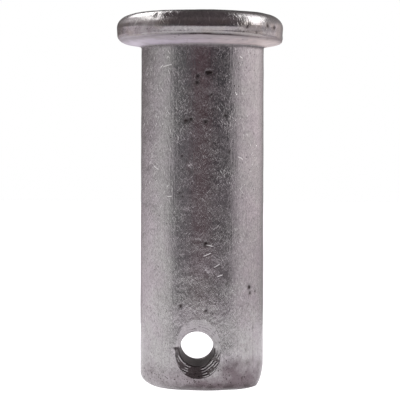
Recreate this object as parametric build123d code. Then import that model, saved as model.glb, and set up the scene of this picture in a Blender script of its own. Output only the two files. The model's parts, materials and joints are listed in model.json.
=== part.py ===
from build123d import *

import os
from math import cos, radians, tan

# A headed pin with a cross hole, struck and drilled from one bar of steel.
# Millimetres and degrees. +Z runs along the shank from its end to the head, the cross hole runs
# along Y, and the origin is on the shank's axis at the end face.

# Shank
shank_diameter = 12.6
grip_length = 34.99  # end face to the seat under the head, at the shank's wall

# Head, struck by a punch whose axis lies a little to one side of the shank's
head_diameter = 17.09
rim_height = 2.99  # seat's edge to top face
head_offset = -0.28  # punch's axis from the shank's axis, along X
top_round_width = 1.96
top_round_height = 1.43
rim_taper = 0.12  # how much the rim's radius narrows down to the meeting of the dies
seam_height = 0.35  # meeting of the dies, above the seat's edge

# Underside of the head, shaped by the die that held the shank and so centred on it
seat_inset = 0.495  # seat's edge, inside the rim's widest line
seat_angle = 12.0
seat_edge_round = 0.3
neck_round = 0.25
seat_share = 0.5  # of the seat's width, at most, for each of the two rounds

# Fold at the meeting of the dies, deepest at the front of the rim and faded out at its sides
fold_depth = 0.09
fold_height = 0.24
fold_reach = 48.0  # angle from the front to where it has faded out

# End: a long slight taper and a blunt dome, each pressed a little to one side of the shank's axis
taper_offset = -0.065  # along X
taper_width = 1.15
taper_height = 3.06
dome_offset = 0.28  # along X
dome_width = 2.63
dome_height = 1.7
die_clearance = 0.02  # where a die's side comes nearest to the shank

# Cross hole, drilled through, then countersunk from both sides
hole_diameter = 3.57
hole_from_end = 4.38
hole_offset = -0.43  # hole's axis from the shank's axis, along X
countersink_diameter = 6.05  # where the cone leaves the shank's widest line
countersink_angle = 118.0

# How far a cutting shape runs past what it cuts
overrun = 1.0

# Worked out from the sizes above
shank_radius = shank_diameter / 2
head_radius = head_diameter / 2
seat_radius = head_radius - seat_inset
hole_radius = hole_diameter / 2
seat_width = seat_radius - shank_radius
seat_edge_level = grip_length + seat_width * tan(radians(seat_angle))
seam_level = seat_edge_level + seam_height
seam_radius = head_radius - rim_taper
top_level = seat_edge_level + rim_height


def turned(outline, axis_x=0.0):
    """Solid of revolution about an upright axis, from a closed outline of radius and height."""
    return Pos(axis_x, 0, 0) * revolve(Plane.XZ * make_face(outline), Axis.Z)


def end_die(offset, round_width, round_height):
    """Bar that the shank fits inside, standing on a flat, its lower corner a quarter ellipse."""
    radius = shank_radius + abs(offset) + die_clearance
    flat = radius - round_width
    outline = [
        Line((0, 0), (flat, 0)),
        EllipticalCenterArc((flat, round_height), round_width, round_height, 270, arc_size=90),
        Line((radius, round_height), (radius, top_level)),
        Line((radius, top_level), (0, top_level)),
        Line((0, top_level), (0, 0)),
    ]
    return turned(outline, offset)


def shank():
    """Round bar, its end shaped by the taper and the dome."""
    bar = extrude(Circle(shank_radius), grip_length)
    taper = end_die(taper_offset, taper_width, taper_height)
    dome = end_die(dome_offset, dome_width, dome_height)
    return bar & taper & dome


def head_top():
    """Head above the meeting of the dies, round about the punch's axis."""
    flat = head_radius - top_round_width
    rim_top = top_level - top_round_height
    outline = [
        Line((0, seam_level), (seam_radius, seam_level)),
        Line((seam_radius, seam_level), (head_radius, rim_top)),
        EllipticalCenterArc((flat, rim_top), top_round_width, top_round_height, 0, arc_size=90),
        Line((flat, top_level), (0, top_level)),
        Line((0, top_level), (0, seam_level)),
    ]
    return turned(outline, head_offset)


def head_underside():
    """Shallow cone of the seat, and the wall that leans out from its edge to the punch's side."""
    seat = turned(
        Polyline(
            (0, grip_length),
            (shank_radius, grip_length),
            (seat_radius, seat_edge_level),
            (0, seat_edge_level),
            close=True,
        ).edges()
    )
    seat_edge = Pos(0, 0, seat_edge_level) * Circle(seat_radius)
    seam_edge = Pos(head_offset, 0, seam_level) * Circle(seam_radius)
    return seat + loft([seat_edge, seam_edge], ruled=True)


def fold_cutter():
    """Ring whose sharp inner edge runs into the front of the rim and out again at its sides."""
    shift = fold_depth / (1 - cos(radians(fold_reach)))
    edge = seam_radius + shift - fold_depth
    outer = edge + overrun
    outer_half_height = fold_height / 2 * overrun / fold_depth
    ring = turned(
        Polyline(
            (edge, seam_level),
            (outer, seam_level + outer_half_height),
            (outer, seam_level - outer_half_height),
            close=True,
        ).edges()
    )
    return Pos(head_offset, shift, 0) * ring


def cross_hole_cutter():
    """Bore along Y with a cone at each mouth."""
    slope = tan(radians(countersink_angle / 2))
    cone_depth = (countersink_diameter / 2 - hole_radius) / slope
    outer = countersink_diameter / 2 + overrun * slope
    cone_start = shank_radius - cone_depth
    far = shank_radius + overrun
    outline = Polyline(
        (0, -far),
        (outer, -far),
        (hole_radius, -cone_start),
        (hole_radius, cone_start),
        (outer, far),
        (0, far),
        close=True,
    )
    return Pos(hole_offset, 0, hole_from_end) * revolve(make_face(outline.edges()), Axis.Y)


def circle_edges(shape, radius, level):
    """Level circular edges of one radius at one height."""
    near = 0.001
    return [
        edge
        for edge in shape.edges().filter_by(GeomType.CIRCLE)
        if abs(edge.radius - radius) < near and abs(edge.arc_center.Z - level) < near
    ]


def on_seat(size):
    """Size of a round at either side of the seat, so that both find room on it."""
    return min(size, seat_width * seat_share)


def clevis_pin():
    blank = shank() + head_underside() + head_top()
    blank = fillet(circle_edges(blank, seat_radius, seat_edge_level), on_seat(seat_edge_round))
    blank = fillet(circle_edges(blank, shank_radius, grip_length), on_seat(neck_round))
    return blank - fold_cutter() - cross_hole_cutter()


pin = clevis_pin()
pin.label = "clevis_pin"
os.makedirs("parts", exist_ok=True)
export_step(pin, "parts/clevis_pin.step")
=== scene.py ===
import json
from math import asin, cos, pi, radians, sin, tan

import bpy
import numpy as np
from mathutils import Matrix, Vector, noise


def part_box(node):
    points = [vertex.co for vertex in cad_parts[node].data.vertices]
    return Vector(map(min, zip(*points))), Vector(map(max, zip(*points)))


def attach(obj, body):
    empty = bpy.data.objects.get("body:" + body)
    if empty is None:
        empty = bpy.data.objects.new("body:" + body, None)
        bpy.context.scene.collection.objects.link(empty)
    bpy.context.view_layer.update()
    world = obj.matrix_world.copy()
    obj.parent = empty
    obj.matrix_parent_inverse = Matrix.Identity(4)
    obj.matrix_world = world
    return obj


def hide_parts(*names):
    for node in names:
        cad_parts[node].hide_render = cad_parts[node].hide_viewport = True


# The pin's skin, in millimetres until it becomes a mesh. Angles about the pin run from its front, on
# the -Y side, towards +X.

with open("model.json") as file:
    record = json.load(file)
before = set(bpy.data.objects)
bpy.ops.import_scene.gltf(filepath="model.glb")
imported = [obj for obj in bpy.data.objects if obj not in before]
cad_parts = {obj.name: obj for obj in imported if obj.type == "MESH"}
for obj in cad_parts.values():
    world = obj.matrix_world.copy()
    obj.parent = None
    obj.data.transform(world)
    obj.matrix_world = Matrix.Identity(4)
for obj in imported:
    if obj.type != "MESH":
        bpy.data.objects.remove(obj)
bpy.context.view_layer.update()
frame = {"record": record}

MM = 0.001
NODE = "clevis_pin"

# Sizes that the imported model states
mounts = {mount["name"]: mount for mount in frame["record"]["mounts"]}
box_low, box_high = (np.array(corner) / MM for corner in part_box(NODE))
SHANK_RADIUS = mounts["shank"]["dims"]["r_mm"]
GRIP_LENGTH = mounts["head_seat"]["pos_m"][2] / MM
HOLE_RADIUS = mounts["cross_hole"]["dims"]["r_mm"]
HOLE_HALF_LENGTH = mounts["cross_hole"]["dims"]["length_mm"] / 2
HOLE_X = mounts["cross_hole"]["pos_m"][0] / MM
HOLE_Z = mounts["cross_hole"]["pos_m"][2] / MM
HEAD_RADIUS = (box_high[0] - box_low[0]) / 2
HEAD_OFFSET = (box_high[0] + box_low[0]) / 2
TOP_LEVEL = box_high[2]

# End: the dies that shaped it, each as (offset along X, corner's width, corner's height)
DIE_CLEARANCE = 0.02
TAPER = (-0.065, 1.15, 3.06)
DOME = (0.28, 2.63, 1.7)

# Head
TOP_ROUND = (1.96, 1.43)  # width and height of the round at the rim's top
EDGE_ROUND = (0.74, 1.0)  # the same at the rim's lower edge
RIM_TAPER = 0.12  # how much the rim narrows downwards
SEAT_ANGLE = radians(11.2)
NECK_ROUND = 0.25
HEAD_SHIFT_START = 0.28  # above the seat, where the head's rings leave the shank's axis
HEAD_SHIFT_HEIGHT = 1.05
SIDE_FULLNESS = ((35.15, 0.0), (35.5, 0.125), (35.95, 0.11), (36.92, 0.0))  # rim's sides, by level
RIM_SAG = 0.38  # how far the rim's widest line drops at the front and the back
RIM_SAG_LEVEL = 36.95
RIM_SAG_REACH = 0.58

# Fold in the front of the rim, with painted shade in its groove
FOLD_LEVEL = 35.87
FOLD_DROP = 0.2  # how far it falls towards its ends
FOLD_REACH = radians(50.0)
FOLD_DEPTH = 0.09
FOLD_HALF_WIDTH = 0.19
FOLD_STEP = 0.03  # how much further in the rim lies below it
FOLD_STEP_HEIGHT = 0.45
# Darkness of the painted shade in the fold's groove
FOLD_SHADE = 0.5

# Countersinks, cut a little off the bore's axis
CONE_ANGLE = radians(118.0 / 2)
CONE_X = HOLE_X - 0.19
CONE_Z = HOLE_Z - 0.17
CONE_DEEPER = 0.03
MOUTH_TEARS = (  # each as (degrees round the mouth, half its width in degrees, size)
    (118, 11, 0.12),
    (96, 8, 0.05),
    (72, 9, 0.14),
    (50, 6, 0.08),
    (24, 8, 0.06),
    (172, 7, 0.12),
    (150, 6, -0.04),
    (-24, 6, 0.05),
    (-60, 8, 0.03),
    (-120, 9, -0.04),
)
BORE_RADIUS = HOLE_RADIUS - 0.05
BORE_X = HOLE_X - 0.05
BORE_Z = HOLE_Z - 0.05
BORE_WAIST = 0.065  # how much narrower the bore is half-way through

# Mesh
AROUND = 256
LEVEL_STEP = 0.185
PATCH_HALF_WIDTH = 23  # columns of the grid on each side of the hole that make way for it
PATCH_LEVELS = (0.72, 8.0)
PLATE_STEPS = 12  # from the patch's border to the mouth
CONE_STEPS = 12
BORE_STEPS = 40
CONE_BORED = 0.06  # value of the attribute bored in the cones, 1 in the bore and 0 outside

# Where the flat coordinates of each surface begin, so that no two of them overlap
END_FLAT = (100.0, 0.0)
TOP_FLAT = (130.0, 0.0)
FRONT_CONE_FLAT = (140.0, 0.0)
BACK_CONE_FLAT = (180.0, 0.0)
BORE_FLAT = 200.0

# Dents and pits on the front, each as (X, Z, radius, depth)
PITS = (
    (0.5, 32.05, 0.3, 0.06),
    (0.82, 32.1, 0.22, 0.05),
    (-0.48, 31.7, 0.22, 0.04),
    (-0.56, 31.1, 0.24, 0.05),
    (0.9, 29.85, 0.18, 0.03),
    (2.3, 27.8, 0.2, 0.04),
    (-1.65, 27.25, 0.24, 0.05),
    (-1.18, 27.4, 0.22, 0.04),
    (0.3, 27.15, 0.21, 0.04),
    (2.72, 24.15, 0.15, 0.03),
    (-2.03, 23.7, 0.15, 0.03),
    (0.38, 14.9, 0.28, 0.03),
    (4.78, 10.5, 0.26, 0.04),
    (4.87, 9.88, 0.2, 0.04),
    (5.4, 10.05, 0.16, 0.03),
    (-2.14, 8.65, 0.19, 0.04),
    (0.4, 8.2, 0.15, 0.03),
    (-2.25, 20.0, 0.16, 0.02),
    (-1.95, 19.65, 0.13, 0.02),
    (4.65, 36.86, 0.17, 0.04),
    (4.45, 36.56, 0.15, 0.03),
    (6.56, 36.85, 0.22, 0.05),
    (7.25, 36.73, 0.24, 0.05),
    (5.46, 36.1, 0.17, 0.04),
    (4.55, 35.6, 0.17, 0.03),
    (6.66, 35.4, 0.17, 0.03),
)

# Clean dents in the round of the head's top, given in the same way
HEAD_DENTS = (
    (-3.35, 37.75, 0.45, 0.045),
    (-2.7, 37.95, 0.35, 0.035),
    (-2.15, 37.7, 0.4, 0.04),
    (-4.6, 37.55, 0.5, 0.035),
    (3.9, 37.55, 0.45, 0.03),
    (1.2, 37.6, 0.5, 0.02),
)

# Dark smudges on the front, each as (X, Z, radius, strength)
SMUDGES = (
    (3.0, 2.87, 0.45, 0.25),
    (3.4, 2.7, 0.35, 0.3),
    (4.6, 2.87, 0.16, 0.6),
    (5.15, 6.4, 0.16, 0.6),
    (4.5, 4.2, 0.3, 0.25),
    (-5.6, 34.2, 0.8, 0.4),
    (-5.2, 33.6, 0.4, 0.3),
)

# Bright scratches on the front of the shank, each as (X, Z) at its two ends
SCRATCHES = (
    ((-4.92, 22.7), (-4.45, 22.3)),
    ((3.62, 23.65), (4.1, 23.42)),
    ((3.75, 33.78), (4.08, 33.6)),
    ((-3.96, 32.68), (-3.1, 32.9)),
    ((-3.52, 19.6), (-3.08, 19.62)),
    ((0.17, 13.6), (0.87, 13.9)),
    ((0.4, 14.75), (1.06, 14.6)),
    ((1.24, 12.48), (1.75, 12.8)),
    ((1.56, 11.55), (2.07, 11.74)),
)

# Waves of the outside, each as (size, shift of the noise, depth, more depth on the head)
SLOW_WAVES = (2.6, 0.0, 0.022, 0.012)
QUICK_WAVES = (0.8, 40.0, 0.0085, 0.003)
QUIET_LEVELS = (3.0, 12.0)  # quick waves are shallower towards the end
QUIETEST = 0.35
WAVES_INWARD = 0.01

# Nicks, struck at random
SEED = 7
NICK_COUNT = 420
NICK_LENGTH = (0.3, 0.9)
NICK_WIDTH = (0.18, 0.3)
NICK_DEPTH = (0.006, 0.022)
HEAD_NICKS_DEEPER = 0.8
CROWDED_REACH = 4.6  # nicks fall closer together round the hole, and are shallower there
CROWDED_DEPTH = 0.25

# Painted shade in the neck under the head, on the front cone's shaded part and on the bore's lower
# edge
NECK_SHADE = (0.12, 0.16, 0.7)  # depth below the seat, half-height, strength
SHADED_TURN = (173, 200)  # degrees round the cone
CONE_SHADE = 0.45
BORE_EDGE_REACH = (0.12, 0.15)  # across the bore's wall and along it
BORE_EDGE_SHADE = 0.8


class Skin:
    """Collects vertices and four-sided faces, with flat coordinates in millimetres for fine marks."""

    def __init__(self):
        self.points = []
        self.bored = []
        self.faces = []
        self.flat = []

    def add(self, points, bored=0.0):
        """Adds an array of points and returns their numbers in an array of the same shape."""
        start = len(self.points)
        self.points.extend(points.reshape(-1, 3))
        self.bored.extend([bored] * (len(self.points) - start))
        return np.arange(start, len(self.points)).reshape(points.shape[:-1])

    def cover(self, numbers, flat, left_out=(), turned_over=False):
        """Faces a grid of vertex numbers. flat gives each grid point's flat coordinates."""
        rows, columns = numbers.shape
        order = -1 if turned_over else 1
        for r in range(rows - 1):
            for c in range(columns - 1):
                if (r, c) in left_out:
                    continue
                corners = ((r, c), (r, c + 1), (r + 1, c + 1), (r + 1, c))[::order]
                self.faces.append([int(numbers[k]) for k in corners])
                self.flat.extend(flat[k] for k in corners)


def closed(grid):
    """The same grid with its first column repeated after its last."""
    return np.concatenate([grid, grid[:, :1]], axis=1)


def around():
    return np.arange(AROUND) * 2 * pi / AROUND


def ring_points(radius, level, centre_x=0.0):
    a = around()
    return np.stack(
        [centre_x + radius * np.sin(a), -radius * np.cos(a), np.full(AROUND, level)], axis=1
    )


def die_radius(die, level):
    """Radius of a die, about its own axis, at a height above the end."""
    offset, width, height = die
    flat = SHANK_RADIUS + abs(offset) + DIE_CLEARANCE - width
    rise = np.clip(1 - level / height, 0, 1)
    return flat + width * np.sqrt(1 - rise**2)


def shank_half_depth(x, z):
    """How far the shank's surface lies from the XZ plane at a place seen from the front."""
    depths = [np.sqrt(SHANK_RADIUS**2 - x**2)]
    depths += [np.sqrt(die_radius(die, z) ** 2 - (x - die[0]) ** 2) for die in (TAPER, DOME)]
    return np.minimum.reduce(depths)


def shank_ring(level):
    """Ring about the shank's axis, where the dies leave the least of it."""
    a = around()
    reach = [np.full(AROUND, SHANK_RADIUS)]
    for die in (TAPER, DOME):
        across = die_radius(die, level) ** 2 - (die[0] * np.cos(a)) ** 2
        reach.append(die[0] * np.sin(a) + np.sqrt(across))
    return ring_points(np.minimum.reduce(reach), level)


def shank_levels():
    """Levels close together round the end's corner, then even ones up to the neck's round."""
    corner = DOME[2] * (1 - np.cos(np.linspace(0, pi / 2, 23)))
    neck_foot = GRIP_LENGTH - NECK_ROUND * tan(pi / 4 - SEAT_ANGLE / 2)
    count = round((neck_foot - DOME[2]) / LEVEL_STEP)
    return np.concatenate([corner, np.linspace(DOME[2], neck_foot, count + 1)[1:]])


def arc_points(centre, radii, start, end, count):
    """Points on an ellipse's arc, the first left out."""
    turn = np.linspace(start, end, count + 1)[1:]
    return [(centre[0] + radii[0] * cos(t), centre[1] + radii[1] * sin(t)) for t in turn]


def line_points(start, end, count):
    """Points on a straight line, the first left out."""
    share = np.linspace(0, 1, count + 1)[1:]
    return [(start[0] + (end[0] - start[0]) * s, start[1] + (end[1] - start[1]) * s) for s in share]


def head_outline():
    """Radius and level from the foot of the neck's round to the edge of the top face."""
    neck_foot = GRIP_LENGTH - NECK_ROUND * tan(pi / 4 - SEAT_ANGLE / 2)
    neck_centre = (SHANK_RADIUS + NECK_ROUND, neck_foot)
    neck = arc_points(neck_centre, (NECK_ROUND, NECK_ROUND), pi, pi / 2 + SEAT_ANGLE, 5)
    edge_x = HEAD_RADIUS - RIM_TAPER - EDGE_ROUND[0]
    start = -pi / 2 + SEAT_ANGLE * EDGE_ROUND[0] / EDGE_ROUND[1]
    seat_end_x = edge_x + EDGE_ROUND[0] * cos(start)
    seat_end = (seat_end_x, GRIP_LENGTH + (seat_end_x - SHANK_RADIUS) * tan(SEAT_ANGLE))
    edge_centre = (edge_x, seat_end[1] - EDGE_ROUND[1] * sin(start))
    seat = line_points(neck[-1], seat_end, 9)
    edge = arc_points(edge_centre, EDGE_ROUND, start, radians(-4), 28)
    rim_top = (HEAD_RADIUS, TOP_LEVEL - TOP_ROUND[1])
    rim = line_points(edge[-1], rim_top, 7)
    top_centre = (HEAD_RADIUS - TOP_ROUND[0], rim_top[1])
    top = arc_points(top_centre, TOP_ROUND, 0, pi / 2, 18)
    return neck + seat + edge + rim + top


def head_centre(level):
    """The head's rings move from the shank's axis to the punch's as they rise round its edge."""
    share = (level - GRIP_LENGTH - HEAD_SHIFT_START) / HEAD_SHIFT_HEIGHT
    return HEAD_OFFSET * (1 - (1 - min(max(share, 0), 1)) ** 2)


def head_ring(radius, level):
    """Ring of the head. Its lower half is fuller at the sides than at the front and back."""
    fullness = np.interp(level, *zip(*SIDE_FULLNESS))
    return ring_points(radius + fullness * np.sin(around()) ** 2, level, head_centre(level))


def square_on_disc(count):
    """Square grid laid on a disc: share of the radius, and angle, of each of its points."""
    side = np.linspace(-1, 1, count + 1)
    u, v = np.meshgrid(side, side)
    share = np.maximum(np.abs(u), np.abs(v))
    safe = np.where(share == 0, 1, share)
    wide = np.abs(u) >= np.abs(v)
    turn = np.where(wide, np.sign(u) * v / safe * pi / 4, 0.0)
    turn = np.where(wide & (u < 0), pi + turn, turn)
    turn = np.where(~wide, np.sign(v) * (pi / 2 - u / safe * pi / 4), turn)
    return share, turn


def cap(skin, ring_numbers, flat_shift, turned_over):
    """Closes a ring with a square grid whose border is the ring itself."""
    share, turn = square_on_disc(AROUND // 4)
    place = np.mod(turn / (2 * pi) * AROUND, AROUND)
    ring = np.array([skin.points[n] for n in ring_numbers])
    wrapped = np.concatenate([ring, ring[:1]])
    steps = np.arange(AROUND + 1)
    rim = np.stack([np.interp(place, steps, wrapped[:, k]) for k in range(3)], axis=-1)
    centre = ring.mean(axis=0)
    points = centre + share[..., None] * (rim - centre)
    on_ring = share == 1
    numbers = np.full(share.shape, -1)
    numbers[on_ring] = ring_numbers[np.mod(np.rint(place[on_ring]).astype(int), AROUND)]
    numbers[~on_ring] = skin.add(points[~on_ring])
    skin.cover(numbers, points[..., :2] + flat_shift, turned_over=turned_over)


def block_border(columns, rows):
    """Grid places round a block's border, as (row, column), in one turn."""
    first, last = columns
    low, high = rows
    border = [(low, c) for c in range(first, last)]
    border += [(r, last) for r in range(low, high)]
    border += [(high, c) for c in range(last, first, -1)]
    border += [(r, first) for r in range(high, low, -1)]
    return np.array(border)


def mouth_reach(turn):
    """Distance from the cone's axis to where the cone leaves the shank, for each angle round it."""
    low = np.full(turn.shape, HOLE_RADIUS)
    high = np.full(turn.shape, SHANK_RADIUS - abs(CONE_X) - 1.0)
    for _ in range(40):
        middle = (low + high) / 2
        cone = HOLE_HALF_LENGTH - CONE_DEEPER + (middle - HOLE_RADIUS) / tan(CONE_ANGLE)
        shank = shank_half_depth(CONE_X + middle * np.cos(turn), CONE_Z + middle * np.sin(turn))
        low = np.where(cone < shank, middle, low)
        high = np.where(cone < shank, high, middle)
    return low


def mouth_tears(turn):
    """Small tears that widen the mouth, most of them at its top."""
    tears = np.zeros(turn.shape)
    for degrees_round, half_width, size in MOUTH_TEARS:
        away = (np.degrees(turn) - degrees_round + 180) % 360 - 180
        tears += size * np.clip(1 - (away / half_width) ** 2, 0, 1)
    return tears


def front_or_back(x, z, side):
    """Points on the shank's front (side -1) or back (side 1) at places seen from the front."""
    return np.stack([x, side * shank_half_depth(x, z), z], axis=-1)


def wrapped_flat(points, side, levels, along):
    """Flat coordinates that carry on those of the shank's rings."""
    turn = np.arctan2(points[..., 0], -points[..., 1])
    if side > 0:
        turn = np.where(turn < 0, turn + 2 * pi, turn)
    return np.stack([turn * SHANK_RADIUS, np.interp(points[..., 2], levels, along)], axis=-1)


def block_round_hole(levels):
    """Columns and rows of the rings' grid that make way for the front mouth of the hole."""
    middle = round(asin(HOLE_X / SHANK_RADIUS) / (2 * pi) * AROUND)
    columns = (middle - PATCH_HALF_WIDTH, middle + PATCH_HALF_WIDTH)
    rows = tuple(int(np.argmin(np.abs(levels - level))) for level in PATCH_LEVELS)
    return columns, rows


def cover_rings(skin, numbers, along, columns, rows):
    """Faces the rings, except in the block round each mouth. The flat seam runs up the back."""
    half = AROUND // 2
    order = np.arange(-half, half + 1)
    across = order * 2 * pi * SHANK_RADIUS / AROUND
    flat = np.stack(np.broadcast_arrays(across[None, :], along[:, None]), axis=-1)
    left_out = set()
    for r in range(*rows):
        for c in range(*columns):
            left_out.add((r, c + half))
            left_out.add((r, (half - 1 - c + half) % AROUND))
    skin.cover(numbers[:, order % AROUND], flat, left_out)


def plate(skin, border_numbers, border, mouth, side, levels, along):
    """Shank's wall from a block's border to the mouth. Returns the mouth's numbers and points."""
    shares = 1 - (1 - np.linspace(0, 1, PLATE_STEPS + 1)[:, None]) ** 1.5
    x, z = (outer + (inner - outer) * shares for outer, inner in zip(border, mouth))
    points = front_or_back(x, z, side)
    numbers = np.vstack([border_numbers, skin.add(points[1:])])
    flat = wrapped_flat(points, side, levels, along)
    skin.cover(closed(numbers), closed(flat), turned_over=side > 0)
    return numbers[-1], points[-1]


def cone(skin, mouth_numbers, mouth, bore_edge, side):
    """Countersink from a mouth to the bore. Returns the numbers of its inner edge."""
    shares = np.linspace(0, 1, CONE_STEPS + 1)[:, None, None]
    points = mouth + (bore_edge - mouth) * shares
    numbers = np.vstack([mouth_numbers[None], skin.add(points[1:], bored=CONE_BORED)])
    flat = points[..., ::2] + (FRONT_CONE_FLAT if side < 0 else BACK_CONE_FLAT)
    skin.cover(closed(numbers), closed(flat), turned_over=side > 0)
    return numbers[-1]


def bore(skin, edges, x, z, turn):
    """Wall of the bore between the inner edges of the two cones."""
    depths = np.linspace(-HOLE_HALF_LENGTH, HOLE_HALF_LENGTH, BORE_STEPS + 1)
    waist = BORE_WAIST * (1 - (depths[1:-1, None] / HOLE_HALF_LENGTH) ** 2)
    inner_x = x - waist * np.cos(turn)
    inner_z = z - waist * np.sin(turn)
    inner_y = np.broadcast_to(depths[1:-1, None], inner_x.shape)
    inner = np.stack([inner_x, inner_y, inner_z], axis=-1)
    numbers = np.vstack([edges[0], skin.add(inner, bored=1.0), edges[1]])
    across = BORE_FLAT + turn * BORE_RADIUS
    flat = np.stack(np.broadcast_arrays(across[None, :], depths[:, None]), axis=-1)
    skin.cover(closed(numbers), closed(flat))


def hole(skin, rings, numbers, levels, along, columns, rows):
    """Both mouths, their countersinks and the bore, in the blocks left out of the rings."""
    border = block_border(columns, rows)
    x, z = (rings[border[:, 0], border[:, 1] % AROUND][:, k] for k in (0, 2))
    turn = np.arctan2(z - CONE_Z, x - CONE_X)
    reach = mouth_reach(turn) + mouth_tears(turn)
    mouth = (CONE_X + reach * np.cos(turn), CONE_Z + reach * np.sin(turn))
    bore_x = BORE_X + BORE_RADIUS * np.cos(turn)
    bore_z = BORE_Z + BORE_RADIUS * np.sin(turn)
    edges = []
    for side in (-1, 1):
        wrap = border[:, 1] if side < 0 else AROUND // 2 - border[:, 1]
        border_numbers = numbers[border[:, 0], wrap % AROUND]
        mouth_numbers, mouth_points = plate(
            skin, border_numbers, (x, z), mouth, side, levels, along[: len(levels)]
        )
        bore_y = np.full(len(x), side * HOLE_HALF_LENGTH)
        bore_edge = np.stack([bore_x, bore_y, bore_z], axis=-1)
        edges.append(cone(skin, mouth_numbers, mouth_points, bore_edge, side))
    bore(skin, edges, bore_x, bore_z, turn)


def build_skin():
    """Rings from the end to the edge of the top face, a cap at either end, and the hole."""
    skin = Skin()
    levels = shank_levels()
    rings = [shank_ring(level) for level in levels]
    rings += [head_ring(radius, level) for radius, level in head_outline()]
    rings = np.array(rings)
    numbers = skin.add(rings)
    step = np.linalg.norm(np.diff(rings[:, 0], axis=0), axis=1)
    along = np.concatenate([[0], np.cumsum(step)])
    columns, rows = block_round_hole(levels)
    cover_rings(skin, numbers, along, columns, rows)
    cap(skin, numbers[0], END_FLAT, turned_over=True)
    cap(skin, numbers[-1], TOP_FLAT, turned_over=False)
    hole(skin, rings, numbers, levels, along, columns, rows)
    return skin


def smooth_noise(points, size, seed_shift):
    """Noise between -1 and 1 that varies over the given size."""
    shift = Vector((seed_shift, seed_shift, seed_shift))
    return np.array([noise.noise(Vector(p / size) + shift) for p in points])


def front_points(marks):
    """Places on the front surface for marks that begin with X and Z."""
    found = []
    for x, z, *_ in marks:
        if z < GRIP_LENGTH:
            found.append((x, -((SHANK_RADIUS**2 - x**2) ** 0.5), z))
        else:
            rise = max(z - TOP_LEVEL + TOP_ROUND[1], 0) / TOP_ROUND[1]
            radius = HEAD_RADIUS - TOP_ROUND[0] * (1 - (1 - rise**2) ** 0.5)
            found.append((x, -((radius**2 - (x - HEAD_OFFSET) ** 2) ** 0.5), z))
    return np.array(found)


def press(points, normals, centre, radius, depth):
    """Presses a round dent."""
    away = np.linalg.norm(points - centre, axis=1) / radius
    inside = away < 1
    points[inside] -= normals[inside] * (depth * (1 - away[inside] ** 2) ** 2)[:, None]


def nick(points, normals, centre, direction, length, width, depth):
    """Presses a short groove."""
    away = points - centre
    along = away @ direction
    across2 = (away**2).sum(axis=1) - along**2
    share = across2 / width**2 + (along / length) ** 2
    inside = share < 1
    points[inside] -= normals[inside] * (depth * (1 - share[inside]) ** 2)[:, None]


def fold(points, grime):
    """Draws in the front of the rim along a line that fades out at both ends, and paints shade into
    its groove.
    """
    turn = np.arctan2(points[:, 0] - HEAD_OFFSET, -points[:, 1])
    fade = np.clip(1 - (turn / FOLD_REACH) ** 2, 0, 1)
    level = FOLD_LEVEL - FOLD_DROP * (turn / FOLD_REACH) ** 2
    radius = np.hypot(points[:, 0] - HEAD_OFFSET, points[:, 1])
    height = points[:, 2] - level
    groove = np.clip(1 - np.abs(height) / FOLD_HALF_WIDTH, 0, 1)
    step = np.where(height < 0, np.clip(1 + height / FOLD_STEP_HEIGHT, 0, 1), 0)
    depth = np.sqrt(fade) * (FOLD_DEPTH * groove + FOLD_STEP * step)
    on_rim = (radius > SHANK_RADIUS + 1) & (points[:, 2] > GRIP_LENGTH) & (fade > 0)
    outward = np.stack([np.sin(turn), -np.cos(turn), np.zeros(len(turn))], axis=1)
    points[on_rim] -= outward[on_rim] * depth[on_rim, None]
    # Painted shade along the groove
    grime[on_rim] = np.maximum(grime[on_rim], (FOLD_SHADE * groove * fade)[on_rim])


def sag_rim(points):
    """Lowers the rim's widest line at the front and the back."""
    turn = np.arctan2(points[:, 0], -points[:, 1])
    near_rim = np.exp(-(((points[:, 2] - RIM_SAG_LEVEL) / RIM_SAG_REACH) ** 2))
    points[:, 2] -= RIM_SAG * np.cos(turn) ** 2 * near_rim


def shade_neck(points, grime):
    """Painted shade just under the head, in the neck."""
    drop, half_height, strength = NECK_SHADE
    in_neck = np.hypot(points[:, 0], points[:, 1]) < SHANK_RADIUS + NECK_ROUND
    neck = np.exp(-(((points[:, 2] - GRIP_LENGTH + drop) / half_height) ** 2))
    grime += np.where(in_neck, strength * neck, 0)


def waves(points, kind, on_head):
    """Uneven depth of one kind of wave."""
    size, shift, depth, more_on_head = kind
    return smooth_noise(points, size, shift) * (depth + more_on_head * on_head)


def make_uneven(points, normals, bored, on_head):
    """Waves of the outside, slow and quick. The hole stays even."""
    outside = np.where(bored > 0, 0.0, 1.0)
    low, high = QUIET_LEVELS
    slow = waves(points, SLOW_WAVES, on_head)
    quick = waves(points, QUICK_WAVES, on_head)
    quick *= np.clip((points[:, 2] - low) / (high - low), QUIETEST, 1)
    points -= normals * (outside * (slow + quick + WAVES_INWARD))[:, None]


def strike_nicks(points, normals, bored, on_head):
    """Short grooves at random places of the outside."""
    chance = np.random.default_rng(SEED)
    places = chance.integers(0, len(points), NICK_COUNT)
    for place in places:
        if bored[place] > 0:
            continue
        direction = np.cross(normals[place], chance.normal(size=3))
        direction /= np.linalg.norm(direction)
        length = chance.uniform(*NICK_LENGTH)
        width = chance.uniform(*NICK_WIDTH)
        depth = chance.uniform(*NICK_DEPTH) * (1 + HEAD_NICKS_DEEPER * on_head[place])
        from_hole = np.hypot(points[place, 0] - CONE_X, points[place, 2] - CONE_Z)
        if from_hole < CROWDED_REACH:
            depth *= CROWDED_DEPTH
        nick(points, normals, points[place], direction, length, width, depth)


def smudge(points, grime):
    """Soft dark places."""
    for centre, (_, _, radius, strength) in zip(front_points(SMUDGES), SMUDGES):
        away = np.linalg.norm(points - centre, axis=1) / radius
        grime[:] = np.maximum(grime, strength * np.exp(-(away**2)))


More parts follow.
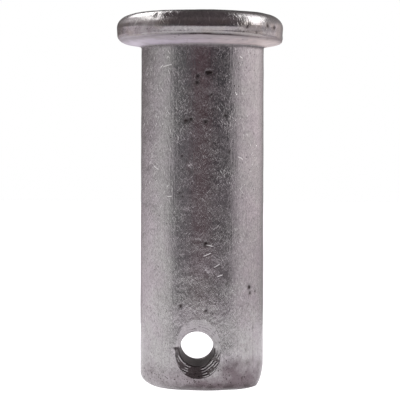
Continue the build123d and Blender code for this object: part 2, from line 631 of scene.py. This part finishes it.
def shade_hole(points, bored, grime):
    """Painted shade on the front cone's shaded part, which starts at a step on its left, and on the
    bore's lower edge.
    """
    turn = np.degrees(np.arctan2(points[:, 2] - CONE_Z, points[:, 0] - CONE_X)) % 360
    in_cone = (bored > 0) & (bored < 1) & (points[:, 1] < 0)
    # Painted shade in the cone
    grime[in_cone & (turn > SHADED_TURN[0]) & (turn < SHADED_TURN[1])] = CONE_SHADE
    across, along = BORE_EDGE_REACH
    edge = np.abs(np.hypot(points[:, 0] - BORE_X, points[:, 2] - HOLE_Z) - HOLE_RADIUS)
    from_end = np.abs(np.abs(points[:, 1]) - HOLE_HALF_LENGTH)
    at_edge = (bored > 0) & (edge < across) & (from_end < along)
    # Painted shade on the bore's lower edge
    grime[at_edge & (points[:, 2] < HOLE_Z)] = BORE_EDGE_SHADE


def strike_dents(points, normals):
    """Clean dents in the round of the head's top."""
    for centre, (_, _, radius, depth) in zip(front_points(HEAD_DENTS), HEAD_DENTS):
        press(points, normals, centre, radius, depth)


def strike_pits(points, normals, grime):
    """Pits with dirt in them."""
    for centre, (_, _, radius, depth) in zip(front_points(PITS), PITS):
        press(points, normals, centre, radius, depth)
        away = np.linalg.norm(points - centre, axis=1) / radius
        grime[:] = np.maximum(grime, np.minimum(1.7 * np.exp(-1.3 * away**2), 1))


def weather(points, normals, bored):
    """Shape and dirt of a pin that was struck, plated and tumbled with others, with painted shade in
    the neck, the fold and the hole.
    """
    grime = np.zeros(len(points))
    sag_rim(points)
    fold(points, grime)
    shade_neck(points, grime)
    on_head = np.clip(points[:, 2] - GRIP_LENGTH, 0, 1)
    make_uneven(points, normals, bored, on_head)
    strike_nicks(points, normals, bored, on_head)
    smudge(points, grime)
    shade_hole(points, bored, grime)
    strike_dents(points, normals)
    strike_pits(points, normals, grime)
    return grime


def keep_in_box(points):
    """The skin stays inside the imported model's box."""
    np.clip(points, box_low, box_high, out=points)


class Tree:
    """Shorthand for building shader nodes."""

    def __init__(self, owner):
        owner.use_nodes = True
        self.nodes = owner.node_tree.nodes
        self.links = owner.node_tree.links

    def add(self, kind, inputs=(), **settings):
        made = self.nodes.new(kind)
        for name, value in settings.items():
            setattr(made, name, value)
        for key, value in dict(inputs).items():
            self.put(made.inputs[key], value)
        return made

    def put(self, socket, value):
        if isinstance(value, bpy.types.NodeSocket):
            self.links.new(value, socket)
        else:
            socket.default_value = value

    def math(self, operation, *values, clamp=False):
        inputs = dict(enumerate(values))
        return self.add("ShaderNodeMath", inputs, operation=operation, use_clamp=clamp).outputs[0]

    def times(self, first, second):
        return self.math("MULTIPLY", first, second)

    def times_plus(self, value, factor, added):
        return self.math("MULTIPLY_ADD", value, factor, added)

    def absolute(self, value):
        return self.math("ABSOLUTE", value)

    def most(self, *values):
        """The largest of the values."""
        largest = values[0]
        for value in values[1:]:
            largest = self.math("MAXIMUM", largest, value)
        return largest

    def vector(self, operation, *values):
        inputs = dict(enumerate(values))
        return self.add("ShaderNodeVectorMath", inputs, operation=operation).outputs[0]

    def length(self, vector):
        made = self.add("ShaderNodeVectorMath", {0: vector}, operation="LENGTH")
        return made.outputs["Value"]

    def dot(self, first, second):
        made = self.add("ShaderNodeVectorMath", {0: first, 1: second}, operation="DOT_PRODUCT")
        return made.outputs["Value"]

    def split(self, vector):
        return self.add("ShaderNodeSeparateXYZ", {0: vector}).outputs

    def attribute(self, name):
        return self.add("ShaderNodeAttribute", attribute_name=name).outputs["Fac"]

    def ramp(self, value, low, high, to_low=0.0, to_high=1.0):
        """Eases from to_low at low to to_high at high, in either direction."""
        if low > high:
            low, high, to_low, to_high = high, low, to_high, to_low
        limits = {"From Min": low, "From Max": high, "To Min": to_low, "To Max": to_high}
        inputs = {"Value": value, **limits}
        return self.add("ShaderNodeMapRange", inputs, interpolation_type="SMOOTHSTEP").outputs[0]

    def noise(self, where, size, detail=1.0, roughness=0.5, kind="3D"):
        inputs = {"Vector": where, "Scale": 1 / size, "Detail": detail, "Roughness": roughness}
        return self.add("ShaderNodeTexNoise", inputs, noise_dimensions=kind).outputs[0]

    def patches(self, where, size, between, shares=(0.0, 1.0), detail=1.0, roughness=0.5):
        """Noise whose values between two limits ease from one share to the other."""
        return self.ramp(self.noise(where, size, detail, roughness), *between, *shares)

    def mix(self, share, first, second):
        made = self.add("ShaderNodeMix", data_type="RGBA")
        self.put(made.inputs[0], share)
        self.put(made.inputs[6], first)
        self.put(made.inputs[7], second)
        return made.outputs[2]


# Fine marks, each as (cell, width, length, share of the cells, shift) on the flat coordinates
MARKS = (
    (0.19, 0.032, 0.12, 1.0, 3.1),
    (0.31, 0.037, 0.24, 1.0, 11.7),
    (0.8, 0.05, 0.6, 0.6, 23.9),
)
GLINTS = (0.8, 0.06, 0.34, 0.65, 37.3)
STROKE_SPREAD = radians(85)  # they lie within half this angle of the pin's length
STROKE_BEND = 0.7
SCRATCH_WIDTH = 0.09
RING_SPACING = 0.25  # of the tool rings in the countersinks
SPECK_CELL = 0.4

# Depths and heights of the fine relief
MARK_DEPTHS = (0.008, 0.008, 0.01)
GLINT_DEPTH = 0.025
SCRATCH_DEPTH = 0.01
FINE_HEIGHT = 0.014
GRAIN_HEIGHT = 0.009
DRAWN_HEIGHT = 0.014
RING_HEIGHT = 0.055

# Levels between which a look changes
CALM_LEVELS = (8.0, 24.0)
UPPER_LEVELS = (12.0, 26.0)
LOW_END = (6.6, 3.2)
PEPPER_LEVELS = (3.4, 1.2)
EDGE_LEVELS = (1.1, 0.45)
# Levels of the painted contact shadow at the very foot
CONTACT_SHADOW_LEVELS = (0.5, 0.12)
SHELTER_LEVELS = (35.85, 35.65)
LEE_LEVELS = (35.2, 35.6)
CHALKY_LEVELS = (35.45, 35.15)
RIM_LEVELS = ((35.2, 35.7), (37.4, 36.9))
RUBBED_LEVELS = (36.8, 36.95)

# Distances from the pin's axis between which a look changes, to the right, to either side, to the
# front or back, and outward from the shank's wall
EDGE_RIGHT = (-5.0, -1.0)
FOUL_RIGHT = (-4.5, 3.0)
RUSTY_RIGHT = (-2.5, -5.5)
REFLECTION_RIGHT = (-4.0, 7.0)
CROWD_SIDES = (0.5, 2.0)
GLINT_SIDES = (2.4, 3.6)
RIM_SIDES = (6.5, 3.0)
DIRTY_FRONT = (0.5, 3.0)
SHELTER_OUTWARD = (0.03, 0.1)

# Colours
ZINC = ((0.65, 0.615, 0.635, 1), (0.63, 0.622, 0.615, 1))
STAINED = (0.47, 0.44, 0.45, 1)
DULL = (0.34, 0.32, 0.33, 1)
MARKED = (0.88, 0.87, 0.86, 1)
BRIGHT = (1.0, 1.0, 0.98, 1)
RUSTY = (0.34, 0.28, 0.295, 1)
GOLDEN = (0.62, 0.55, 0.48, 1)
# Painted shade on the rim band
RIM_SHADE = (0.34, 0.32, 0.325, 1)
# Painted reflection of the table under the head, and darker patches in it
UNDERSIDE_REFLECTION = ((0.7, 0.64, 0.73, 1), (0.74, 0.64, 0.61, 1))
UNDERSIDE_REFLECTION_DIM = (0.5, 0.46, 0.48, 1)
# Painted shade under the head's fold
LEE_SHADE = (0.36, 0.33, 0.335, 1)
FOUL = (0.24, 0.2, 0.215, 1)
# Dark colour of dirt and of painted shade
DIRT_AND_SHADE = (0.06, 0.047, 0.047, 1)


def strokes(tree, flat, cell, width, length, share, shift):
    """Short curved marks at all angles, at most one in each cell of the flat coordinates."""
    moved = tree.vector("ADD", flat, (shift, shift * 0.7, 0))
    inputs = {"Vector": moved, "Scale": 1 / cell, "Randomness": 1.0}
    cells = tree.add("ShaderNodeTexVoronoi", inputs, voronoi_dimensions="2D", feature="F1")
    luck = tree.add("ShaderNodeSeparateColor", {0: cells.outputs["Color"]})
    away = tree.vector("SUBTRACT", moved, cells.outputs["Position"])
    angle = tree.times_plus(luck.outputs[0], STROKE_SPREAD, (pi - STROKE_SPREAD) / 2)
    inputs = {"Vector": away, "Angle": angle}
    turned = tree.add("ShaderNodeVectorRotate", inputs, rotation_type="Z_AXIS")
    parts = tree.split(turned.outputs[0])
    bend = tree.math("SUBTRACT", luck.outputs[1], 0.5)
    sag = tree.times(tree.math("POWER", parts[0], 2.0), bend)
    across = tree.math("DIVIDE", tree.times_plus(sag, STROKE_BEND / cell, parts[1]), width)
    along = tree.math("DIVIDE", parts[0], length)
    far = tree.math("ADD", tree.times(across, across), tree.times(along, along))
    mark = tree.math("SUBTRACT", 1.0, far, clamp=True)
    strength = tree.math("SUBTRACT", 1.0, tree.math("DIVIDE", luck.outputs[2], share), clamp=True)
    return tree.times(mark, strength)


def crowded_marks(tree, place, x, flat):
    """Fine marks of every size, fainter in some patches and down the middle."""
    crowd = tree.patches(place, 2.4, (0.36, 0.64), (0.45, 1.3), detail=2.0)
    off_middle = tree.ramp(tree.absolute(x), *CROWD_SIDES, 0.6, 1.0)
    crowd = tree.times(crowd, off_middle)
    return [tree.times(strokes(tree, flat, *kind), crowd) for kind in MARKS]


def scratch(tree, parts, start, end):
    """A straight mark between two places on the flat coordinates."""
    run = np.array(end) - np.array(start)
    length = float(np.hypot(*run))
    u, v = (float(part) for part in run / length)
    du = tree.math("SUBTRACT", parts[0], float(start[0]))
    dv = tree.math("SUBTRACT", parts[1], float(start[1]))
    along = tree.times_plus(du, u, tree.times(dv, v))
    across = tree.times_plus(du, -v, tree.times(dv, u))
    near = tree.ramp(tree.absolute(across), 0.0, SCRATCH_WIDTH, 1.0, 0.0)
    from_middle = tree.absolute(tree.math("SUBTRACT", along, length / 2))
    ends = tree.ramp(
        from_middle, length / 2 - SCRATCH_WIDTH, length / 2 + SCRATCH_WIDTH, 1.0, 0.0
    )
    return tree.times(near, ends)


def flat_place(x, z):
    """Flat coordinates of a place on the shank's front above the tapered end."""
    levels = shank_levels()
    front = np.array([shank_ring(level)[0] for level in levels])
    profile = np.linalg.norm(np.diff(front, axis=0), axis=1).sum()
    rise = profile - (levels[-1] - levels[0])
    return asin(x / SHANK_RADIUS) * SHANK_RADIUS, z + rise


def placed_scratches(tree, flat):
    """The bright scratches, each at its own place."""
    parts = tree.split(flat)
    ends = [[flat_place(x, z) for x, z in pair] for pair in SCRATCHES]
    return tree.most(*(scratch(tree, parts, start, end) for start, end in ends))


def under_head(tree, place, z):
    """Share of the head's underside, which the dies left smooth, and where a painted reflection and
    painted shade go.
    """
    outward = tree.length(tree.vector("MULTIPLY", place, (1, 1, 0)))
    near, far = (SHANK_RADIUS + distance for distance in SHELTER_OUTWARD)
    return tree.times(tree.ramp(outward, near, far), tree.ramp(z, *SHELTER_LEVELS))


def near_end(tree, place, z):
    """Share of the shank's dirty end, which has a cloudy border."""
    uneven = tree.times_plus(tree.noise(place, 2.2, detail=4.0), 5.0, z)
    return tree.ramp(uneven, *LOW_END)


class Spot:
    """Where a point of the surface is, in millimetres, and what several of the looks there use."""

    def __init__(self, tree):
        object_place = tree.add("ShaderNodeTexCoord").outputs["Object"]
        self.place = tree.vector("MULTIPLY", object_place, (1 / MM,) * 3)
        self.stretched = tree.vector("MULTIPLY", self.place, (1, 1, 0.6))
        self.x, self.y, self.z = tree.split(self.place)
        self.from_hole = tree.vector("SUBTRACT", self.place, (CONE_X, 0, CONE_Z))
        self.flat = tree.add("ShaderNodeUVMap", uv_map="flat").outputs[0]
        # Dirt and painted shade, from the mesh
        self.grime = tree.attribute("grime")
        self.bored = tree.attribute("bored")
        self.in_hole = tree.math("GREATER_THAN", self.bored, 0.01)
        drawn_out = tree.vector("MULTIPLY", self.flat, (1.0, 0.03, 1.0))
        self.drawn = tree.noise(drawn_out, 0.22, detail=2.0, kind="2D")
        self.stain = tree.noise(self.place, 0.6, detail=2.0)
        self.marks = crowded_marks(tree, self.place, self.x, self.flat)
        self.glints = strokes(tree, self.flat, *GLINTS)
        self.scratches = placed_scratches(tree, self.flat)
        self.upper = tree.ramp(self.z, *UPPER_LEVELS, 0.2, 1.0)
        self.underside_share = under_head(tree, self.place, self.z)
        self.low_end = near_end(tree, self.place, self.z)
        self.dirty_front = tree.ramp(tree.absolute(self.y), *DIRTY_FRONT, 0.45, 1.0)


def tool_rings(tree, spot):
    """Rings in the countersinks, broken up, and clearest on both sides of the bottom."""
    reach = tree.length(tree.vector("MULTIPLY", spot.from_hole, (1, 0, 1)))
    x, _, z = tree.split(spot.from_hole)
    wander = tree.times_plus(tree.noise(spot.place, 0.9), 0.2, reach)
    rings = tree.math("SINE", tree.times(wander, 2 * pi / RING_SPACING))
    rings = tree.times(rings, tree.patches(spot.place, 0.5, (0.34, 0.53)))
    to_side = tree.math("DIVIDE", tree.absolute(x), reach)
    low_side = tree.times(tree.ramp(to_side, 0.2, 0.45), tree.ramp(z, -0.3, -0.8))
    rings = tree.times(rings, tree.times_plus(low_side, 0.8, 0.2))
    return tree.times(rings, spot.in_hole)


def relief(tree, spot):
    """Height of the fine relief, in millimetres."""
    fine = tree.noise(tree.vector("MULTIPLY", spot.place, (1, 1, 0.45)), 0.14)
    grain = tree.noise(spot.stretched, 0.4, detail=2.0)
    height = tree.times(fine, FINE_HEIGHT)
    height = tree.times_plus(grain, GRAIN_HEIGHT, height)
    height = tree.times_plus(spot.drawn, DRAWN_HEIGHT, height)
    for mark, depth in zip(spot.marks, MARK_DEPTHS):
        height = tree.times_plus(mark, -depth, height)
    height = tree.times(height, tree.ramp(spot.z, *CALM_LEVELS, 0.6, 1.0))
    at_sides = tree.ramp(tree.absolute(spot.x), *GLINT_SIDES)
    struck = tree.times(spot.glints, tree.times(at_sides, spot.upper))
    height = tree.times_plus(struck, -GLINT_DEPTH, height)
    smooth = tree.most(spot.underside_share, tree.ramp(spot.z, *RUBBED_LEVELS))
    height = tree.times(height, tree.ramp(smooth, 0.0, 1.0, 1.0, 0.6))
    height = tree.times_plus(spot.scratches, -SCRATCH_DEPTH, height)
    height = tree.times(height, tree.times_plus(spot.in_hole, -0.45, 1.0))
    return tree.times_plus(tool_rings(tree, spot), RING_HEIGHT, height)


def coat_colour(tree, spot):
    """Zinc of two tones, with stains, speckle, marks and painted glints, duller at the cones' top."""
    colour = tree.mix(tree.patches(spot.place, 2.5, (0.35, 0.65), detail=3.0), *ZINC)
    colour = tree.mix(tree.ramp(spot.stain, 0.5, 0.75, 0.0, 0.3), colour, STAINED)
    speckle = tree.patches(spot.stretched, 0.17, (0.42, 0.7), (0.0, 0.55), 2.0, 0.7)
    speckle = tree.times(speckle, tree.times_plus(spot.in_hole, -0.5, 1.0))
    colour = tree.mix(speckle, colour, DULL)
    colour = tree.mix(tree.ramp(spot.drawn, 0.55, 0.8, 0.0, 0.4), colour, DULL)
    colour = tree.mix(tree.times(tree.most(*spot.marks), 0.4), colour, MARKED)
    # Painted highlights: the glint strokes brightened in the colour, more high up
    glinting = tree.math("MULTIPLY", spot.glints, tree.math("ADD", spot.upper, 0.3), clamp=True)
    colour = tree.mix(glinting, colour, BRIGHT)
    cone_top = tree.ramp(tree.split(spot.from_hole)[2], 0.0, 1.0, 0.0, 0.35)
    return tree.mix(tree.times(spot.in_hole, cone_top), colour, DULL)


def rim_colour(tree, spot, colour):
    """Rusty dirt on the left of the rim, a golden tinge, and painted shade over the rim band, darkest
    at its front.
    """
    low, high = (tree.ramp(spot.z, *levels) for levels in RIM_LEVELS)
    on_rim = tree.times(low, high)
    rusty = tree.patches(spot.place, 1.0, (0.4, 0.62), (0.25, 0.75), detail=3.0)
    rusty = tree.times(rusty, tree.times(tree.ramp(spot.x, *RUSTY_RIGHT), on_rim))
    colour = tree.mix(rusty, colour, RUSTY)
    golden = tree.times(on_rim, tree.patches(spot.place, 1.6, (0.42, 0.6), (0.0, 0.5)))
    colour = tree.mix(golden, colour, GOLDEN)
    # Painted shade, darker towards the front
    front_shade = tree.ramp(tree.absolute(spot.x), *RIM_SIDES, 0.38, 0.52)
    return tree.mix(tree.times(on_rim, front_shade), colour, RIM_SHADE)


def underside_colour(tree, spot, colour):
    """Painted reflection of the pale table under the head, with darker patches, and painted shade
    darkening it towards the fold.
    """
    reflection = tree.mix(tree.ramp(spot.x, *REFLECTION_RIGHT), *UNDERSIDE_REFLECTION)
    squat = tree.vector("MULTIPLY", spot.place, (1, 1, 2.0))
    dimmer_patches = tree.patches(squat, 1.1, (0.42, 0.75), (0.0, 0.6), detail=3.0)
    reflection = tree.mix(dimmer_patches, reflection, UNDERSIDE_REFLECTION_DIM)
    # Painted reflection: the underside made paler
    colour = tree.mix(spot.underside_share, colour, reflection)
    # Painted shade below the fold
    lee_shading = tree.times(spot.underside_share, tree.ramp(spot.z, *LEE_LEVELS, 0.0, 0.75))
    return tree.mix(lee_shading, colour, LEE_SHADE)


def end_colour(tree, spot, colour):
    """Foul patches near the end, more of them on the right."""
    patchy = tree.times_plus(tree.noise(spot.place, 1.2, detail=4.0), 1.6, 0.2)
    to_right = tree.ramp(spot.x, *FOUL_RIGHT, 0.4, 1.25)
    foul = tree.times(tree.times(spot.low_end, patchy), to_right)
    return tree.mix(tree.times(foul, spot.dirty_front), colour, FOUL)


def specks(tree, spot):
    """Round dark specks, more of them and darker near the end."""
    inputs = {"Vector": spot.place, "Scale": 1 / SPECK_CELL}
    cells = tree.add("ShaderNodeTexVoronoi", inputs, voronoi_dimensions="3D")
    luck = tree.add("ShaderNodeSeparateColor", {0: cells.outputs["Color"]}).outputs[0]
    dot = tree.ramp(cells.outputs["Distance"], 0.12, 0.26, 1.0, 0.0)
    chosen = tree.math("LESS_THAN", luck, tree.times_plus(spot.low_end, 0.35, 0.16))
    return tree.times(tree.times(dot, chosen), tree.times_plus(spot.low_end, 0.3, 0.6))


def end_dirt_and_shade(tree, spot):
    """Dirt and painted contact shade in the round of the end, a painted contact shadow at its foot,
    and dirt peppered about just above.
    """
    # Dirt and painted contact shade in the round of the end
    edge = tree.ramp(spot.z, *EDGE_LEVELS, 0.0, 0.72)
    edge = tree.times(edge, tree.ramp(spot.x, *EDGE_RIGHT, 0.4, 1.0))
    broken = tree.patches(spot.place, 0.8, (0.38, 0.55), (0.45, 1.0), detail=3.0)
    edge = tree.times(tree.times(edge, broken), spot.dirty_front)
    # Painted contact shadow along the foot
    contact_shadow = tree.ramp(spot.z, *CONTACT_SHADOW_LEVELS, 0.0, 0.85)
    near_foot = tree.ramp(spot.z, *PEPPER_LEVELS, 0.0, 0.75)
    share = tree.times(near_foot, tree.patches(spot.place, 1.4, (0.4, 0.6), (0.35, 1.0)))
    peppered = tree.times(tree.patches(spot.place, 0.17, (0.58, 0.66)), share)
    return tree.most(edge, contact_shadow, peppered)


def roughness(tree, spot, dirt_and_shade):
    rough = tree.ramp(spot.stain, 0.3, 0.7, 0.14, 0.22)
    rough = tree.times_plus(spot.underside_share, 0.25, rough)
    rough = tree.times_plus(spot.in_hole, 0.07, rough)
    return tree.times_plus(dirt_and_shade, 0.25, rough)


def metallic(tree, spot):
    """The zinc is chalky, and so half as metallic, near the neck."""
    chalky = tree.times(spot.underside_share, tree.ramp(spot.z, *CHALKY_LEVELS))
    return tree.times_plus(chalky, -0.5, 1.0)


def plated_steel():
    """Dull zinc with fine marks all over it, dirt where it settles, painted shade in the creases, the
    hole and at the foot, and a painted reflection under the head.
    """
    material = bpy.data.materials.new("plated_steel")
    tree = Tree(material)
    spot = Spot(tree)
    colour = coat_colour(tree, spot)
    for change in (rim_colour, underside_colour, end_colour):
        colour = change(tree, spot, colour)
    # Painted shade in the bore, and a little in the cones
    bore_shade = tree.times(spot.bored, 0.58)
    dirt_and_shade = tree.most(specks(tree, spot), spot.grime, bore_shade, end_dirt_and_shade(tree, spot))
    colour = tree.mix(dirt_and_shade, colour, DIRT_AND_SHADE)
    colour = tree.mix(spot.scratches, colour, BRIGHT)
    inputs = {"Height": relief(tree, spot), "Distance": MM, "Strength": 1.0}
    sockets = tree.nodes["Principled BSDF"].inputs
    tree.put(sockets["Base Color"], colour)
    tree.put(sockets["Roughness"], roughness(tree, spot, dirt_and_shade))
    tree.put(sockets["Metallic"], metallic(tree, spot))
    tree.put(sockets["Normal"], tree.add("ShaderNodeBump", inputs).outputs[0])
    return material


def pin():
    skin = build_skin()
    mesh = bpy.data.meshes.new("pin")
    points = np.array(skin.points)
    bored = np.array(skin.bored)
    mesh.from_pydata(points * MM, [], skin.faces)
    normals = np.empty(len(points) * 3)
    mesh.vertex_normals.foreach_get("vector", normals)
    grime = weather(points, normals.reshape(-1, 3), bored)
    keep_in_box(points)
    mesh.vertices.foreach_set("co", (points * MM).ravel())
    mesh.uv_layers.new(name="flat").data.foreach_set("uv", np.array(skin.flat, np.float32).ravel())
    # Dirt and painted shade, and the bored share, go on the mesh as attributes
    for name, values in (("grime", grime), ("bored", bored)):
        mesh.attributes.new(name, "FLOAT", "POINT").data.foreach_set("value", values)
    mesh.polygons.foreach_set("use_smooth", np.ones(len(mesh.polygons), bool))
    mesh.set_sharp_from_angle(angle=radians(35))
    mesh.materials.append(plated_steel())
    mesh.update()
    piece = bpy.data.objects.new("pin", mesh)
    bpy.context.scene.collection.objects.link(piece)
    return piece


# Camera, in millimetres from the pin's axis and end
LENS_PX = 2250.0
VIEW_PX = 400
CAMERA_PLACE = (-0.219, -231.6, 19.28)
CAMERA_ROLL = radians(-0.19)


def camera():
    data = bpy.data.cameras.new("camera")
    data.lens = data.sensor_width * LENS_PX / VIEW_PX
    data.clip_start = 0.01
    made = bpy.data.objects.new("camera", data)
    made.location = Vector(CAMERA_PLACE) * MM
    made.rotation_euler = (pi / 2, CAMERA_ROLL, 0)
    bpy.context.scene.collection.objects.link(made)
    bpy.context.scene.camera = made


# Floor, as it is seen and as it shows in the metal, each as (name, radius in metres, grey, glow)
SEEN_FLOOR = ("floor", 20.0, 0.5, 0.9)
MIRRORED_FLOOR = ("floor_in_metal", 0.12, 0.45, 0.25)
FLOOR_CORNERS = 96


def floor_material(name, grey, glow):
    material = bpy.data.materials.new(name)
    shader = Tree(material).nodes["Principled BSDF"]
    shader.inputs["Base Color"].default_value = (grey, grey, grey, 1)
    shader.inputs["Roughness"].default_value = 0.9
    shader.inputs["Emission Color"].default_value = (1.0, 0.97, 1.0, 1)
    shader.inputs["Emission Strength"].default_value = glow
    return material


def floor_disc(name, radius, grey, glow):
    """Flat disc that the pin stands on."""
    turn = [2 * pi * k / FLOOR_CORNERS for k in range(FLOOR_CORNERS)]
    mesh = bpy.data.meshes.new(name)
    mesh.from_pydata([(radius * cos(t), radius * sin(t), 0) for t in turn], [], [range(len(turn))])
    mesh.materials.append(floor_material(name, grey, glow))
    made = bpy.data.objects.new(name, mesh)
    bpy.context.scene.collection.objects.link(made)
    return made


def floor():
    """The floor as it is seen, and the part of it that shows in the metal, which is less bright."""
    seen = floor_disc(*SEEN_FLOOR)
    seen.visible_glossy = False
    mirrored = floor_disc(*MIRRORED_FLOOR)
    mirrored.visible_camera = False


# Soft lights, each as (name, azimuth from the front, elevation), in degrees
LIGHTS = (("left_light", -155, 38), ("right_light", 132, 47))
LIGHT_SPREAD = radians(24)
LIGHT_STRENGTH = 0.1


def soft_light(name, azimuth, elevation):
    """Wide soft light from far away, as seen from the pin."""
    data = bpy.data.lights.new(name, "SUN")
    data.angle = LIGHT_SPREAD
    data.energy = LIGHT_STRENGTH
    made = bpy.data.objects.new(name, data)
    made.rotation_euler = direction(azimuth, elevation).to_track_quat("Z", "Y").to_euler()
    bpy.context.scene.collection.objects.link(made)


# What the metal sees round about at eye level: azimuth from the front in degrees, and colour
ROOM = (
    (-180, (0.12, 0.11, 0.11)),
    (-150, (0.21, 0.19, 0.19)),
    (-125, (0.245, 0.225, 0.23)),
    (-100, (0.34, 0.325, 0.33)),
    (-78, (0.5, 0.49, 0.49)),
    (-62, (0.46, 0.45, 0.45)),
    (-55, (0.16, 0.158, 0.162)),
    (-24, (0.105, 0.103, 0.11)),
    (-14, (0.106, 0.073, 0.08)),
    (12, (0.09, 0.06, 0.068)),
    (22, (0.06, 0.058, 0.064)),
    (52, (0.07, 0.066, 0.072)),
    (64, (0.42, 0.4, 0.41)),
    (80, (0.72, 0.67, 0.68)),
    (130, (0.9, 0.81, 0.83)),
    (155, (0.4, 0.37, 0.37)),
    (180, (0.12, 0.11, 0.11)),
)
# The same just below eye level
ROOM_LOW = (
    (-180, (0.12, 0.11, 0.11)),
    (-150, (0.66, 0.6, 0.64)),
    (-120, (0.85, 0.79, 0.83)),
    (-100, (0.85, 0.8, 0.83)),
    (-78, (0.72, 0.69, 0.7)),
    (-62, (0.5, 0.49, 0.49)),
    (-55, (0.22, 0.215, 0.22)),
    (-18, (0.21, 0.18, 0.19)),
    (18, (0.21, 0.18, 0.19)),
    (52, (0.2, 0.185, 0.19)),
    (66, (0.42, 0.38, 0.4)),
    (90, (0.46, 0.42, 0.44)),
    (130, (0.44, 0.4, 0.42)),
    (155, (0.35, 0.33, 0.33)),
    (180, (0.12, 0.11, 0.11)),
)
# The same high up
ROOM_HIGH = (
    (-180, (0.06, 0.055, 0.055)),
    (-150, (0.3, 0.28, 0.28)),
    (-110, (0.3, 0.28, 0.28)),
    (-75, (0.3, 0.28, 0.28)),
    (-45, (0.115, 0.096, 0.1)),
    (50, (0.115, 0.096, 0.1)),
    (80, (0.25, 0.23, 0.23)),
    (120, (0.4, 0.37, 0.38)),
    (150, (0.25, 0.23, 0.23)),
    (180, (0.06, 0.055, 0.055)),
)
CEILING = (0.085, 0.072, 0.075, 1)
TABLE = (0.62, 0.58, 0.62, 1)  # white table further off, below eye level

# Heights, as the sine of the elevation, between which one band of the room turns into the next
LOW_EDGE = (0.05, -0.05)
HIGH_EDGE = (0.14, 0.38)
CEILING_EDGE = (0.7, 0.9)
TABLE_EDGE = (-0.1, -0.18)

# Long windows: azimuth and elevation of both ends, half the width, and colour
WINDOWS = (
    ((-72, 26), (-140, 26), 0.17, (0.6, 0.57, 0.57)),
    ((-78, 39), (-125, 50), 0.14, (1.7, 1.66, 1.66)),
    ((-128, 48), (-163, 35), 0.14, (2.2, 2.15, 2.15)),
    ((82, 19), (120, 50), 0.18, (2.4, 2.34, 2.34)),
)
WINDOW_SOFTNESS = 0.2  # of half the length and width


def colour_round(tree, share, room):
    """Colour ramp right round the room."""
    ramp = tree.add("ShaderNodeValToRGB", {0: share})
    stops = ramp.color_ramp.elements
    for place, (degrees, colour) in enumerate(room):
        position = degrees / 360 + 0.5
        stop = stops[place] if place < len(stops) else stops.new(position)
        stop.position = position
        stop.color = (*colour, 1)
    return ramp.outputs[0]


def direction(azimuth, elevation):
    a, e = radians(azimuth), radians(elevation)
    return Vector((sin(a) * cos(e), -cos(a) * cos(e), sin(e)))


def window(tree, way, first, last, half_width):
    """Share of a long soft window in each direction. It runs from one direction to another."""
    first, last = direction(*first), direction(*last)
    length = (last - first).normalized()
    width = first.cross(last).normalized()
    shares = []
    for axis, half in ((length, last.dot(length)), (width, half_width)):
        away = tree.absolute(tree.dot(way, axis))
        near, far = half * (1 - WINDOW_SOFTNESS), half * (1 + WINDOW_SOFTNESS)
        shares.append(tree.ramp(away, near, far, 1.0, 0.0))
    facing = tree.math("GREATER_THAN", tree.dot(way, first + last), 0.0)
    return tree.times(tree.times(*shares), facing)


def studio():
    """White to the camera. The metal sees a dark warm front, lighter sides and a pale table."""
    world = bpy.data.worlds.new("studio")
    tree = Tree(world)
    way = tree.add("ShaderNodeTexCoord").outputs["Generated"]
    x, y, height = tree.split(way)
    azimuth = tree.math("ARCTAN2", x, tree.times(y, -1.0))
    share = tree.times_plus(azimuth, 1 / (2 * pi), 0.5)
    level, low, high = (colour_round(tree, share, room) for room in (ROOM, ROOM_LOW, ROOM_HIGH))
    room = tree.mix(tree.ramp(height, *LOW_EDGE), level, low)
    room = tree.mix(tree.ramp(height, *HIGH_EDGE), room, high)
    room = tree.mix(tree.ramp(height, *CEILING_EDGE), room, CEILING)
    room = tree.mix(tree.ramp(height, *TABLE_EDGE), room, TABLE)
    for first, last, half_width, colour in WINDOWS:
        room = tree.mix(window(tree, way, first, last, half_width), room, (*colour, 1))
    camera_ray = tree.add("ShaderNodeLightPath").outputs["Is Camera Ray"]
    seen = tree.mix(camera_ray, room, (1, 1, 1, 1))
    tree.put(tree.nodes["Background"].inputs["Color"], seen)
    bpy.context.scene.world = world


def lights():
    for light in LIGHTS:
        soft_light(*light)


piece = pin()
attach(piece, "root")
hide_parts(NODE)
floor()
camera()
studio()
lights()
bpy.context.scene.view_settings.view_transform = "Standard"
